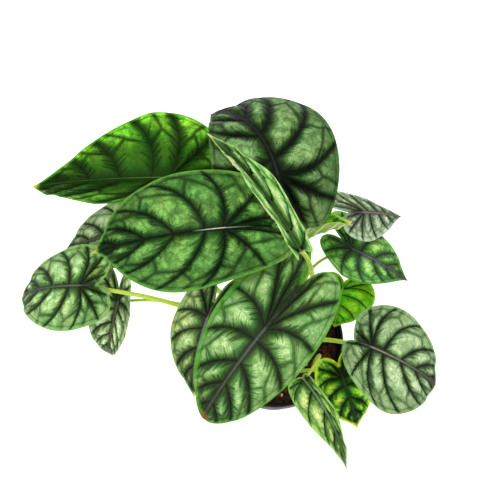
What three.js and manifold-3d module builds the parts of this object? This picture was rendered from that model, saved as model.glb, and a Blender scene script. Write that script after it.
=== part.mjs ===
// A potted dragon scale alocasia: sixteen leaves, each a waved blade on its own petiole, whose feet
// stand in plain holes in the soil of a round nursery pot.
// Millimetres, +Z up. The origin is the middle of the pot's flat base. The plant's front looks
// along -Y, with +X to the right.

import * as THREE from 'three';
import { mergeVertices } from 'three/addons/utils/BufferGeometryUtils.js';
import Module from 'manifold-3d';

const wasm = await Module();
wasm.setup();

// Pot: a 12 cm round nursery pot with an upright rim band and a ring of drain holes
const RIM_RADIUS = 60;
const RIM_WALL = 2.4;
const RIM_BAND = 10;
const POT_HEIGHT = 105;
const BASE_RADIUS = 39;
const BASE_CHAMFER = 2;
const SHOULDER_RADIUS = 57;
const WALL = 1.6;
const FLOOR = 2.5;
const DRAIN_HOLES = 8;
const DRAIN_RADIUS = 4.5;
const DRAIN_CIRCLE = 27;
const DRAIN_SIDES = 10;
const POT_SIDES = 40;

// Soil, and the small gap that every piece keeps to its neighbour
const SOIL_LEVEL = 94;
const SOIL_RINGS = 6;
const SOIL_BUMP = 1.3;
const SOIL_TURN_X = 0.31;
const SOIL_TURN_Y = 0.27;
const SOIL_SKEW = 0.11;
const SOIL_SHIFT = 1.3;
const GAP = 0.35;

// Blades and petioles
const BLADE_HALF = 0.4;
const RIB_DEPTH = 1;
const SHARPEST = 0.5;
const CALM_PASSES = 4;
const CALM_REACH = 1.5;
const FOLD_WIDTH = 4;
const RELIEF_SPAN = 0.25;
const RELIEF_OFFSET = 0.05;
const ROWS_PER_VEIN = 2;
const COLUMNS = [0, 0.07, 0.3, 0.65, 1];
const BULGE_START = 0.07;
const BULGE_RISE = 0.4;
const BULGE_FADE = 0.75;
const LOBE_ROUND = 0.56;
const NOTCH_WIDTH = 0.1;
const NOTCH_DEPTH = 0.45;
const STALK_SIDES = 8;
const STALK_STEPS = 11;
const STALK_BURIED = 14;
const STALK_FLARE = 1.9;
const HOLE_SIDES = 12;

// Each vein starts on the spine (0 the tip, 1 the petiole, 2 the base of the sinus) and ends on the
// margin (0 the tip, 1 the widest place, 2 the end of the lobe, 3 the sinus). Bow bends it.
const VEINS = [
  { spine: 0, margin: 0, bow: 0 },
  { spine: 0.22, margin: 0.20, bow: 0.14 },
  { spine: 0.44, margin: 0.35, bow: 0.20 },
  { spine: 0.66, margin: 0.52, bow: 0.24 },
  { spine: 0.88, margin: 0.79, bow: 0.32 },
  { spine: 1, margin: 1.12, bow: 0.32 },
  { spine: 1, margin: 1.60, bow: 0.10 },
  { spine: 1, margin: 2.34, bow: 0 },
  { spine: 2, margin: 3, bow: 0 },
];
const LAST_VEIN = VEINS.length - 1;
const UP = new THREE.Vector3(0, 0, 1);

// Shape of a leaf. Lengths are shares of its length from petiole to tip, stalk and tail are
// millimetres, and angles are degrees. A key may end in _l or _r, for the half on the left or the
// right of a viewer who looks from the petiole to the tip.
const PLAIN_LEAF = {
  width: 0.44, widest: 0.12, shoulder: 0.42, tip_len: 0.16, tip_wide: 0.02,
  lobe: 0.42, lobe_x: 0.5, full: 0.56, sinus: 0.2, arch: 1,
  fold: 8, cup: -20, droop: 30, lobe_droop: 15, roll: 0, sweep: 0, turn: 0,
  bulge: 0.022, wave: 0.012, waves: 3.5, phase: 0,
  stalk: 1.6, tail: 40,
};

// Each leaf: where its blade joins the petiole (at) and where its tip is, then its shape, then its
// petiole: the foot at the soil, how far it leans over its rise, and the length and way (arrive) of
// the stretch that reaches the blade.
const LEAVES = {
  back_left: {
    at: [-90, 113, 202], tip: [-207, 114, 180], width_l: 0.44, width_r: 0.48, widest_l: 0.2,
    widest_r: 0.1, shoulder_l: 0.38, shoulder_r: 0.22, tip_len_l: 0.08, tip_len_r: 0.22,
    tip_wide_l: 0.06, tip_wide_r: 0.05, lobe_l: 0.28, lobe_r: 0.42, lobe_x_l: 0.5, lobe_x_r: 0.3,
    sinus: 0.15, fold_l: 46, fold_r: 8, cup_l: 10, cup_r: -15, droop: 25, lobe_droop: 20, roll: 5,
    foot: [-12, 16], rise: 70, lean: [-10, 10], tail: 45,
  },
  back_round: {
    at: [0, 95, 250], tip: [-56, 174, 196], width_l: 0.47, width_r: 0.52, widest_l: 0.04,
    widest_r: 0.18, shoulder_l: 0.44, shoulder_r: 0.74, tip_len: 0.08, lobe_l: 0.36, lobe_r: 0.45,
    fold: 5, cup: -25, droop: 60, lobe_droop: 25, roll: -10, sweep: 0.08, foot: [0, 26], rise: 90,
    lean: [-4, 18], tail: 45,
  },
  centre_left: {
    at: [-42, 38, 280], tip: [-146, 32, 240], width: 0.42, widest: 0.26, shoulder_l: 0.44,
    shoulder_r: 0.5, tip_len_l: 0.18, tip_len_r: 0.12, lobe_l: 0.48, lobe_r: 0.4, lobe_x_l: 0.3,
    lobe_x_r: 0.35, full_l: 0.25, full_r: 0.56, sinus: 0.34, fold_l: 12, fold_r: 20, cup: -25,
    lobe_droop: 25, foot: [-14, -2], rise: 100, lean: [-6, 4], tail: 50,
  },
  folded_top: {
    at: [14, 10, 310], tip: [-55, 111, 292], width: 0.2, widest: 0.22, shoulder: 0.35, tip_len: 0.22,
    lobe: 0.02, full: 0.5, sinus: 0.02, fold_l: 66, fold_r: 76, cup: 5, droop: 15, lobe_droop: 40,
    sweep: 0.04, bulge: 0.012, foot: [24, 4], rise: 80, lean: [4, 6], tail: 62,
    arrive: [-0.32, -0.1, 0.94],
  },
  front_large: {
    at: [-11, -33, 250], tip: [-59, -90, 200], width: 0.45, widest_l: 0.05, widest_r: 0.06,
    tip_len_l: 0.01, tip_len_r: 0.04, tip_wide_l: 0.22, tip_wide_r: 0.1, lobe_l: 0.72, lobe_r: 0.84,
    lobe_x_l: 0.35, lobe_x_r: 0.65, sinus: 0.5, arch: 0.9, fold: 6, droop: 45, lobe_droop: 10,
    foot: [0, -10], rise: 80, lean: [4, 0], tail: 45,
  },
  right_round: {
    at: [79, -25, 170], tip: [137, -43, 115], width_l: 0.51, width_r: 0.54, widest_l: 0.26,
    widest_r: 0.32, shoulder_l: 0.5, shoulder_r: 0.45, tip_len: 0.05, lobe_l: 0.24, lobe_r: 0.3,
    lobe_x_l: 0.4, lobe_x_r: 0.15, full_l: 0.5, full_r: 0.3, fold: 5, droop: 40, foot: [22, -8],
    rise: 70, lean: [4, -4], tail: 42, arrive: [0.97, -0.2, 0.0],
  },
  right_glossy: {
    at: [65, 61, 170], tip: [113, 40, 148], lobe: 0.5, fold: 10, cup: -25, lobe_droop: 20, turn: -20,
    foot: [22, 20], rise: 56, lean: [0, 16], tail: 45, arrive: [0.97, 0.12, 0.2], stalk: 1.1,
  },
  right_dull: {
    at: [73, 84, 196], tip: [106, 88, 176], width: 0.62, widest_l: -0.45, widest_r: 0.1,
    shoulder_l: 0.35, shoulder_r: 0.42, tip_len_l: 0.55, tip_len_r: 0.16, tip_wide_l: 0.14,
    tip_wide_r: 0.02, lobe_l: 0.9, lobe_r: 0.5, lobe_x_l: 0.6, lobe_x_r: 0.4, sinus: 0.35, arch_l: 0.15,
    arch_r: 0.5, fold: -15, cup: -15, droop: 20, lobe_droop: 10, bulge: 0.018, foot: [12, 30], rise: 80,
    lean: [-6, 24], tail: 60, arrive: [0.95, 0.2, 0.2],
  },
  young_back: {
    at: [23, 55, 216], tip: [62, 72, 206], width_l: 0.5, width_r: 0.4, lobe: 0.3, sinus: 0.12,
    fold_l: 15, fold_r: 100, cup: 0, droop: 15, lobe_droop: 10, bulge: 0.012, foot: [13, 12], rise: 80,
    lean: [2, 20], tail: 25, stalk: 1.2,
  },
  young_right: {
    at: [57, 33, 146], tip: [52, 11, 106], width_l: 0.62, width_r: 0.45, lobe: 0.3, sinus: 0.15,
    fold: 5, cup: -15, lobe_droop: 10, foot: [33, 13], rise: 25, lean: [4, 2], tail: 14, stalk: 1.2,
  },
  front_small: {
    at: [56, -44, 142], tip: [70, -78, 104], width: 0.45, sinus: 0.24, lobe_droop: 10, foot: [16, -26],
    rise: 25, lean: [6, -6], tail: 18, stalk: 1.3,
  },
  front_narrow: {
    at: [22, -55, 180], tip: [59, -116, 115], width_l: 0.13, width_r: 0.22, tip_len: 0.2, lobe: 0.06,
    sinus: 0.03, arch: 0.7, fold_l: 75, fold_r: 30, cup_l: 0, cup_r: -10, droop: 15, lobe_droop: 10,
    sweep: -0.05, bulge: 0.016, foot: [33, -22], rise: 50, lean: [4, 4], tail: 36,
    arrive: [-0.5, -0.7, 0.35], stalk: 1.2,
  },
  far_left: {
    at: [-162, 22, 190], tip: [-219, 31, 132], width_l: 0.46, width_r: 0.45, shoulder_l: 0.5,
    shoulder_r: 0.44, tip_len: 0.05, lobe_l: 0.38, lobe_r: 0.3, fold: 5, droop: 40, turn: 4,
    foot: [-26, -8], rise: 100, lean: [-16, 4], tail: 80, arrive: [-0.97, 0.16, -0.1],
  },
  left_shaded: {
    at: [-123, 79, 170], tip: [-185, 73, 130], width: 0.42, lobe: 0.35, sinus: 0.12, fold: 5,
    lobe_droop: 10, foot: [-23, 15], rise: 45, lean: [-14, 12],
  },
  left_hanging: {
    at: [-134, 20, 150], tip: [-147, -9, 95], width_l: 0.3, width_r: 0.38, tip_len: 0.02,
    tip_wide: 0.16, lobe: 0.5, fold_l: 40, fold_r: 15, cup: -10, droop: 20, lobe_droop: 10, turn: 10,
    foot: [-31, 4], rise: 56, lean: [-12, 8], tail: 45, arrive: [-0.93, -0.12, -0.08], stalk: 1.1,
  },
  front_left: {
    at: [-56, -9, 200], tip: [-68, -63, 150], width_l: 0.4, width_r: 0.35, tip_len: 0.2, lobe: 0.5,
    fold_l: 30, fold_r: 5, cup: -25, droop: 25, sweep: 0.05, foot: [-13, -20], rise: 60, lean: [-8, 0],
    tail: 35,
  },
};

const LEAF_COLORS = {
  back_left: '#3f8a1e', young_back: '#8cbf2a', young_right: '#6fb31e', front_small: '#4f9a22',
  right_dull: '#6f7f6a', left_hanging: '#66755a', left_shaded: '#4c5a3c',
};
const BLADE_COLOR = '#4d7f45';
const PETIOLE_COLOR = '#a3b83c';
const SOIL_COLOR = '#3a1f14';
const POT_COLOR = '#17171a';

function value(leaf, key, side = 0) {
  const half = side > 0 ? `${key}_r` : `${key}_l`;
  return leaf[half] ?? leaf[key] ?? PLAIN_LEAF[key];
}

// The margin of one half of the flat leaf, as three curves: tip to widest place, on to the end of
// the lobe, and back to the sinus. The petiole is at the origin and the tip at (0, 1).
function marginCurves(leaf, side) {
  const of = (key) => value(leaf, key, side);
  const width = of('width');
  const lobe = of('lobe');
  const endX = width * of('lobe_x');
  const sinus = of('sinus');
  const point = (x, y) => new THREE.Vector2(x, y);
  const tip = point(0, 1);
  const wide = point(width, of('widest'));
  const end = point(endX, -lobe);
  const notch = point(0, -sinus);
  return [
    new THREE.CubicBezierCurve(
      tip, point(of('tip_wide'), 1 - of('tip_len')), point(width, wide.y + of('shoulder')), wide),
    new THREE.CubicBezierCurve(
      wide, point(width, wide.y - of('full') * (wide.y + lobe)),
      point(endX + LOBE_ROUND * (width - endX), -lobe), end),
    new THREE.CubicBezierCurve(
      end, point(endX * (1 - LOBE_ROUND), -lobe),
      point(endX * NOTCH_WIDTH, -sinus - NOTCH_DEPTH * (lobe - sinus)), notch),
  ];
}

function alongVeins(key, row) {
  const low = Math.min(Math.floor(row), LAST_VEIN - 1);
  return THREE.MathUtils.lerp(VEINS[low][key], VEINS[low + 1][key], row - low);
}

// A point of the flat half leaf: row counts veins from the tip to the sinus, out runs from 0 on the
// spine to 1 on the margin. The span is the length of its row.
function flatPoint(leaf, side, curves, row, out) {
  const spine = alongVeins('spine', row);
  const margin = alongVeins('margin', row);
  const piece = Math.min(Math.floor(margin), curves.length - 1);
  const start = new THREE.Vector2(0, spine <= 1 ? 1 - spine : -value(leaf, 'sinus') * (spine - 1));
  const end = curves[piece].getPoint(margin - piece);
  const across = end.clone().sub(start);
  const bow = alongVeins('bow', row) * value(leaf, 'arch', side);
  const bend = new THREE.Vector2(across.y, -across.x).multiplyScalar(bow);
  const middle = start.clone().addScaledVector(across, 0.5).add(bend);
  const point = new THREE.QuadraticBezierCurve(start, middle, end).getPoint(out);
  return { x: point.x, y: point.y, span: across.length() };
}

// How far a point stands above the smooth leaf: raised between the veins, waved at the margin, and
// fading beside the midrib and where the leaf runs out to its tip.
function relief(leaf, row, out, flat) {
  const rise = THREE.MathUtils.smoothstep(out, BULGE_START, BULGE_RISE);
  const fade = 1 - BULGE_FADE * out ** 3;
  const bulge = value(leaf, 'bulge') * Math.sin(Math.PI * (row % 1)) * rise * fade;
  const share = row / LAST_VEIN;
  const turns = value(leaf, 'waves') * share + value(leaf, 'phase');
  const ends = Math.sqrt(Math.max(0, Math.sin(Math.PI * share)));
  const wave = value(leaf, 'wave') * Math.sin(2 * Math.PI * turns) * out ** 3 * ends;
  return (bulge + wave) * Math.min(1, flat.span / RELIEF_SPAN) * Math.min(1, flat.x / RELIEF_OFFSET);
}

// Where a line ends that starts level and turns at a steady rate over its length: how far along,
// and how far up.
function arc(length, rate) {
  if (Math.abs(rate) < 1e-6) return [length, 0];
  return [Math.sin(rate * length) / rate, (1 - Math.cos(rate * length)) / rate];
}

// The length of the leaf along its drooping midrib.
function leafLength(leaf) {
  const reach = new THREE.Vector3(...leaf.tip).distanceTo(new THREE.Vector3(...leaf.at));
  return reach / Math.hypot(...arc(1, THREE.MathUtils.degToRad(value(leaf, 'droop'))));
}

// The cross-section of a half leaf: folded up by the midrib within a soft width, then cupped. Gives
// how far across, how far up, and the slope there.
function crossSection(leaf, side, x) {
  const width = value(leaf, 'width', side);
  const foldWidth = FOLD_WIDTH / leafLength(leaf);
  const cup = THREE.MathUtils.degToRad(value(leaf, 'cup', side)) / width;
  const fold = THREE.MathUtils.degToRad(value(leaf, 'fold', side)) / foldWidth;
  const soft = Math.min(x, foldWidth);
  const [nearAcross, nearUp] = arc(soft, fold + cup);
  const slope = (fold + cup) * soft;
  const [across, up] = arc(x - soft, cup);
  return {
    across: nearAcross + across * Math.cos(slope) - up * Math.sin(slope),
    up: nearUp + across * Math.sin(slope) + up * Math.cos(slope),
    slope: slope + cup * (x - soft),
  };
}

// The bend of the lobes, shared by both halves so that they meet at the sinus.
function lobeBend(leaf) {
  const length = (value(leaf, 'lobe', -1) + value(leaf, 'lobe', 1)) / 2;
  return THREE.MathUtils.degToRad(value(leaf, 'lobe_droop')) / length;
}

// The folded and bent leaf at unit length: x across, y along the midrib, z up.
function shapedPoint(leaf, side, curves, row, out) {
  const flat = flatPoint(leaf, side, curves, row, out);
  const section = crossSection(leaf, side, flat.x);
  const height = relief(leaf, row, out, flat);
  const across = section.across - height * Math.sin(section.slope);
  const lift = section.up + height * Math.cos(section.slope);
  const back = flat.y < 0;
  const droop = back ? lobeBend(leaf) : THREE.MathUtils.degToRad(value(leaf, 'droop'));
  const [along, down] = arc(flat.y, droop);
  const slope = droop * flat.y;
  const sweep = 4 * value(leaf, 'sweep');
  const turn = Math.tan(THREE.MathUtils.degToRad(value(leaf, 'turn')));
  const shift = back ? (sweep - turn) * flat.y : sweep * flat.y * (1 - flat.y);
  return new THREE.Vector3(
    side * across + shift, along + lift * Math.sin(slope), lift * Math.cos(slope) - down);
}

// Turns and scales the unit leaf so that it runs from its petiole to its tip in the plant.
function placeLeaf(leaf) {
  const at = new THREE.Vector3(...leaf.at);
  const midrib = new THREE.Vector3(...leaf.tip).sub(at).normalize();
  const [along, down] = arc(1, THREE.MathUtils.degToRad(value(leaf, 'droop')));
  const across = midrib.clone().cross(UP).normalize();
  across.applyAxisAngle(midrib, -THREE.MathUtils.degToRad(value(leaf, 'roll')));
  const face = across.clone().cross(midrib);
  const tipAngle = Math.atan2(-down, along);
  const size = leafLength(leaf);
  return new THREE.Matrix4().makeBasis(across, midrib, face)
    .multiply(new THREE.Matrix4().makeRotationX(-tipAngle))
    .scale(new THREE.Vector3(size, size, size))
    .setPosition(at);
}

// How much of the midrib's depth there is along the spine: all of it at the petiole, none at the
// tip or half way along the sinus.
function ribShare(spine) {
  return spine <= 1 ? spine : Math.max(0, 3 - 2 * spine);
}

// The waved sheet of one leaf: points, triangles that face up, and the share of the midrib's depth
// at each point.
function bladeSheet(leaf) {
  const place = placeLeaf(leaf);
  const points = [];
  const ribs = [];
  const triangles = [];
  const known = new Map();
  const rows = LAST_VEIN * ROWS_PER_VEIN;
  for (const side of [-1, 1]) {
    const curves = marginCurves(leaf, side);
    const grid = [];
    for (let step = 0; step <= rows; step++) {
      const row = step / ROWS_PER_VEIN;
      grid.push(COLUMNS.map((out) => {
        const point = shapedPoint(leaf, side, curves, row, out).applyMatrix4(place);
        const key = point.toArray().map((v) => v.toFixed(3)).join();
        if (!known.has(key)) {
          known.set(key, points.length);
          points.push(point);
          ribs.push(out === 0 ? ribShare(alongVeins('spine', row)) : 0);
        }
        return known.get(key);
      }));
    }
    for (let r = 0; r < rows; r++) {
      for (let c = 0; c < COLUMNS.length - 1; c++) {
        const [a, b, d, e] = [grid[r][c], grid[r + 1][c], grid[r + 1][c + 1], grid[r][c + 1]];
        for (const corners of [[a, b, d], [a, d, e]]) {
          if (new Set(corners).size < 3) continue;
          triangles.push(side > 0 ? corners : corners.reverse());
        }
      }
    }
  }
  return { points, ribs, triangles };
}

// The sheet given its thickness, as one closed solid: the same triangles above and below, a rim
// along the margin, and a midrib that stands out underneath.
function bladeGeometry(leaf) {
  const { points, ribs, triangles } = bladeSheet(leaf);
  const normals = points.map(() => new THREE.Vector3());
  const faces = triangles.map((corners) => {
    const [a, b, d] = corners.map((i) => points[i]);
    const normal = b.clone().sub(a).cross(d.clone().sub(a));
    for (const i of corners) normals[i].add(normal);
    return normal.normalize();
  });
  const ways = calmed(points, triangles, normals);
  const lean = points.map(() => 1);
  triangles.forEach((corners, f) => {
    for (const i of corners) lean[i] = Math.min(lean[i], ways[i].dot(faces[f]));
  });
  const below = points.length;
  const all = [];
  const edges = new Map();
  for (const [a, b, d] of triangles) {
    all.push([a, b, d], [below + a, below + d, below + b]);
    for (const [from, to] of [[a, b], [b, d], [d, a]]) edges.set(`${from},${to}`, [from, to]);
  }
  for (const [from, to] of edges.values()) {
    if (edges.has(`${to},${from}`)) continue;
    all.push([to, from, below + from], [to, below + from, below + to]);
  }
  const moved = (depth, ribDepth) => points.map((point, i) => point.clone().addScaledVector(
    ways[i], depth / Math.max(lean[i], SHARPEST) - ribDepth * ribs[i]));
  return indexed([...moved(BLADE_HALF, 0), ...moved(-BLADE_HALF, RIB_DEPTH)], all);
}

// The directions of thickness: the sheet's normals, drawn towards those of near neighbours so that
// close points move side by side.
function calmed(points, triangles, normals) {
  let ways = normals.map((normal) => normal.clone().normalize());
  for (let pass = 0; pass < CALM_PASSES; pass++) {
    const next = ways.map((way) => way.clone());
    for (const corners of triangles) {
      corners.forEach((i, k) => {
        const j = corners[(k + 1) % 3];
        const pull = Math.min(1, CALM_REACH / points[i].distanceTo(points[j]));
        next[i].addScaledVector(ways[j], pull);
        next[j].addScaledVector(ways[i], pull);
      });
    }
    ways = next.map((way) => way.normalize());
  }
  return ways;
}

function indexed(points, triangles) {
  const geometry = new THREE.BufferGeometry();
  const positions = points.flatMap((point) => point.toArray());
  geometry.setAttribute('position', new THREE.Float32BufferAttribute(positions, 3));
  geometry.setIndex(triangles.flat());
  geometry.computeVertexNormals();
  return geometry;
}

function toSolid(geometry) {
  const bare = geometry.clone();
  bare.deleteAttribute('normal');
  bare.deleteAttribute('uv');
  const merged = mergeVertices(bare, 1e-4);
  return new wasm.Manifold(new wasm.Mesh({
    numProp: 3,
    vertProperties: new Float32Array(merged.attributes.position.array),
    triVerts: new Uint32Array(merged.index.array),
  }));
}

function fromSolid(solid) {
  const mesh = solid.getMesh();
  const geometry = new THREE.BufferGeometry();
  geometry.setAttribute('position', new THREE.BufferAttribute(mesh.vertProperties, 3));
  geometry.setIndex(new THREE.BufferAttribute(mesh.triVerts, 1));
  geometry.computeVertexNormals();
  return geometry;
}

// A closed round rod along a path, with a radius for each share of its length. With a seat, its
// last ring lies in the seat's plane.
function rodGeometry(path, steps, sides, radiusAt, seat) {
  const frames = path.computeFrenetFrames(steps, false);
  const points = [];
  const triangles = [];
  for (let step = 0; step <= steps; step++) {
    const share = step / steps;
    const middle = path.getPointAt(share);
    for (let k = 0; k < sides; k++) {
      const turn = 2 * Math.PI * k / sides;
      const spoke = frames.normals[step].clone().multiplyScalar(Math.cos(turn))
        .addScaledVector(frames.binormals[step], Math.sin(turn));
      const point = middle.clone().addScaledVector(spoke, radiusAt(share));
      if (seat && step === steps) {
        const way = frames.tangents[step];
        point.addScaledVector(way, -seat.distanceToPoint(point) / seat.normal.dot(way));
      }
      points.push(point);
    }
  }
  const ring = (step, k) => step * sides + k % sides;
  for (let step = 0; step < steps; step++) {
    for (let k = 0; k < sides; k++) {
      const [a, b] = [ring(step, k), ring(step, k + 1)];
      const [d, e] = [ring(step + 1, k + 1), ring(step + 1, k)];
      triangles.push([a, b, d], [a, d, e]);
    }
  }
  for (let k = 1; k < sides - 1; k++) {
    triangles.push([ring(0, 0), ring(0, k + 1), ring(0, k)]);
    triangles.push([ring(steps, 0), ring(steps, k), ring(steps, k + 1)]);
  }
  return indexed(points, triangles);
}

// Where the petiole meets its blade: a plane just under the midrib.
function petioleSeat(leaf) {
  const face = new THREE.Vector3(0, 0, 1).transformDirection(placeLeaf(leaf));
  const under = new THREE.Vector3(...leaf.at).addScaledVector(face, -BLADE_HALF - RIB_DEPTH - GAP);
  return { under, plane: new THREE.Plane().setFromNormalAndCoplanarPoint(face, under) };
}

// The way in which the petiole reaches the blade: as the table gives it, or else out of the blade's
// underside and half way along the midrib.
function arrival(leaf) {
  if (leaf.arrive) return new THREE.Vector3(...leaf.arrive).normalize();
  return new THREE.Vector3(0, 0.5, 1).transformDirection(placeLeaf(leaf));
}

// The petiole's line: straight out of the soil, then in one curve to the blade.
function petiolePath(leaf) {
  const foot = new THREE.Vector3(...leaf.foot, SOIL_LEVEL);
  const end = petioleSeat(leaf).under;
  const start = new THREE.Vector3(...leaf.lean, leaf.rise);
  const into = arrival(leaf).multiplyScalar(value(leaf, 'tail'));
  const root = foot.clone().addScaledVector(start.clone().normalize(), -STALK_BURIED);
  const path = new THREE.CurvePath();
  path.add(new THREE.LineCurve3(root, foot));
  path.add(new THREE.CubicBezierCurve3(foot, foot.clone().add(start), end.clone().sub(into), end));
  return path;
}

function petioleGeometry(leaf) {
  const thin = value(leaf, 'stalk');
  const radiusAt = (share) => THREE.MathUtils.lerp(thin * STALK_FLARE, thin, Math.sqrt(share));
  const seat = petioleSeat(leaf).plane;
  return rodGeometry(petiolePath(leaf), STALK_STEPS, STALK_SIDES, radiusAt, seat);
}

// A plain round hole in the soil for a petiole's foot, wider than it by the gap.
function footHole(leaf) {
  const path = petiolePath(leaf).curves[0];
  const way = path.v2.clone().sub(path.v1).normalize();
  const hole = new THREE.LineCurve3(
    path.v1.clone().addScaledVector(way, -GAP), path.v2.clone().addScaledVector(way, STALK_BURIED));
  const radius = value(leaf, 'stalk') * STALK_FLARE + GAP;
  return toSolid(rodGeometry(hole, 1, HOLE_SIDES, () => radius / Math.cos(Math.PI / HOLE_SIDES)));
}

function lathe(profile, sides = POT_SIDES) {
  const geometry = new THREE.LatheGeometry(profile.map(([r, z]) => new THREE.Vector2(r, z)), sides);
  return geometry.rotateX(Math.PI / 2);
}

const wallRadius = (z) =>
  THREE.MathUtils.mapLinear(z, 0, POT_HEIGHT - RIM_BAND, BASE_RADIUS, SHOULDER_RADIUS);

function potSolid() {
  const shoulder = POT_HEIGHT - RIM_BAND;
  const bore = wallRadius(shoulder) - WALL;
  let pot = toSolid(lathe([
    [0, 0], [BASE_RADIUS - BASE_CHAMFER, 0], [wallRadius(BASE_CHAMFER), BASE_CHAMFER],
    [SHOULDER_RADIUS, shoulder], [RIM_RADIUS, shoulder], [RIM_RADIUS, POT_HEIGHT],
    [RIM_RADIUS - RIM_WALL, POT_HEIGHT], [RIM_RADIUS - RIM_WALL, shoulder + FLOOR], [bore, shoulder],
    [wallRadius(FLOOR) - WALL, FLOOR], [0, FLOOR],
  ]));
  for (let k = 0; k < DRAIN_HOLES; k++) {
    const turn = 2 * Math.PI * k / DRAIN_HOLES;
    const drill = new THREE.CylinderGeometry(DRAIN_RADIUS, DRAIN_RADIUS, 3 * FLOOR, DRAIN_SIDES);
    drill.rotateX(Math.PI / 2);
    drill.translate(DRAIN_CIRCLE * Math.cos(turn), DRAIN_CIRCLE * Math.sin(turn), FLOOR / 2);
    pot = pot.subtract(toSolid(drill));
  }
  return pot;
}

// The soil fills the pot to just under the rim, with a lumpy top.
function soilSolid() {
  const floor = FLOOR + GAP;
  const edge = wallRadius(SOIL_LEVEL) - WALL - GAP;
  const profile = [[0, floor], [wallRadius(floor) - WALL - GAP, floor]];
  for (let ring = 0; ring <= SOIL_RINGS; ring++) {
    profile.push([edge * (1 - ring / SOIL_RINGS), SOIL_LEVEL]);
  }
  const geometry = lathe(profile);
  const spots = geometry.attributes.position;
  for (let i = 0; i < spots.count; i++) {
    const [x, y, z] = [spots.getX(i), spots.getY(i), spots.getZ(i)];
    if (z < SOIL_LEVEL - 1 || Math.hypot(x, y) > edge - 1) continue;
    const across = Math.sin(SOIL_TURN_X * x + SOIL_SHIFT);
    const along = Math.cos(SOIL_TURN_Y * y + SOIL_SKEW * x);
    spots.setZ(i, z + SOIL_BUMP * across * along);
  }
  let soil = toSolid(geometry);
  for (const leaf of Object.values(LEAVES)) soil = soil.subtract(footHole(leaf));
  return soil;
}

function piece(name, geometry, color, roughness) {
  const material = new THREE.MeshStandardMaterial({ color, roughness, metalness: 0 });
  const mesh = new THREE.Mesh(geometry, material);
  mesh.name = name;
  return mesh;
}

const plant = new THREE.Group();
plant.add(piece('pot', fromSolid(potSolid()), POT_COLOR, 0.6));
plant.add(piece('soil', fromSolid(soilSolid()), SOIL_COLOR, 0.95));
for (const [name, leaf] of Object.entries(LEAVES)) {
  plant.add(piece(`blade_${name}`, bladeGeometry(leaf), LEAF_COLORS[name] ?? BLADE_COLOR, 0.45));
  plant.add(piece(`petiole_${name}`, petioleGeometry(leaf), PETIOLE_COLOR, 0.5));
}

export default plant;
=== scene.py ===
# A potted dragon scale alocasia, dressed for its portrait: quilted blades with dark sunken veins,
# ribbed petioles, loose potting mix and a moulded nursery pot. Lengths in the tables are
# millimetres in the plant's frame, and every mesh is made in metres.

import math

import bpy
import numpy as np
from mathutils import Matrix, Vector, noise


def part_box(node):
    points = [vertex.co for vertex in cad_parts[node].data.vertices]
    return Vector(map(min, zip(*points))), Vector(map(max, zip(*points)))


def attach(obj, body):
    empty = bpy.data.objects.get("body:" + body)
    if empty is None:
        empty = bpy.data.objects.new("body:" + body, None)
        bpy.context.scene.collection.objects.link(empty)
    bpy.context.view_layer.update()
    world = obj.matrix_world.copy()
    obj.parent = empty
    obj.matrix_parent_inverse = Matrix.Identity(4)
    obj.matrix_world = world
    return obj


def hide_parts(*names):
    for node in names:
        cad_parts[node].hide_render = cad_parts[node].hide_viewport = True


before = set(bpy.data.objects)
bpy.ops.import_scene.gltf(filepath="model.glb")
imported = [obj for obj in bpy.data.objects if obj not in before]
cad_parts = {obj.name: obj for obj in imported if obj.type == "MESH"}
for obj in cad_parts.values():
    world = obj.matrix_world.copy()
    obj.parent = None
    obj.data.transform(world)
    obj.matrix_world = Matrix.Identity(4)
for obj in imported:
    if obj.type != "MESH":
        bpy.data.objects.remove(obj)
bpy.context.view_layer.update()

MM = 0.001
BODY = "root"

# Blades: the same leaf as in the model, with a finer grid. These are shares, of the leaf's length
# or of a half leaf's own measures, but for MARGIN_WAVES, the number of waves along a margin.
RELIEF_SPAN = 0.25
RELIEF_OFFSET = 0.05
BULGE_START = 0.07
BULGE_RISE = 0.4
BULGE_FADE = 0.75
MARGIN_WAVE = 0.012
MARGIN_WAVES = 3.5
LOBE_ROUND = 0.56
NOTCH_WIDTH = 0.1
NOTCH_DEPTH = 0.45
VEIN_THINS = 0.6
VEIN_BY_RIB = 0.8

# The blades' measures in millimetres
FOLD_WIDTH = 4
RELIEF_EDGE = 4
MARGIN_STEP = 1.3
SPAN_STEP = 0.95
BLADE_HALF = 0.28
RIM_ROUND = 0.2
RIB_DEPTH = 0.9
RIB_WIDTH = 1.3
VEIN_DEPTH = 0.35
VEIN_WIDTH = 0.8
GROOVE_DEPTH = 0.35
GROOVE_WIDTH = 1.2
FORK_DEPTH = 0.5
FORK_WIDTH = 1.4
SHOOT_DEPTH = 0.25
SHOOT_WIDTH = 1.0
CREST_HEIGHT = 0.3
CREST_WIDTH = 1.1
INNER_LINE = 3.6
INNER_FADE = 1.5
BEHIND_FADE = 4
# How far from the midrib the painted shade on a darker half fades in
PAINTED_SHADE_FADE = 6

# How many points a vein, a margin and an outline are drawn with, and how many of a line's points
# are measured at a time
LINE_SAMPLES = 90
MARGIN_SAMPLES = 360
OUTLINE_SAMPLES = 200
NEAR_CHUNK = 60

# Forks and side shoots, as shares of the way from the midrib to the margin, and of the way from
# one vein to the next
FORK_MEET = (0.72, 0.9)
FORK_START = (0.36, 0.6)
FORK_LEAN = 0.25
SHOOT_STARTS = (0.1, 0.24, 0.38, 0.52, 0.66)
SHOOT_SHIFT = 0.05
SHOOT_SPREAD = (0.26, 0.42)
SHOOT_RUN = (0.12, 0.22)

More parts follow.
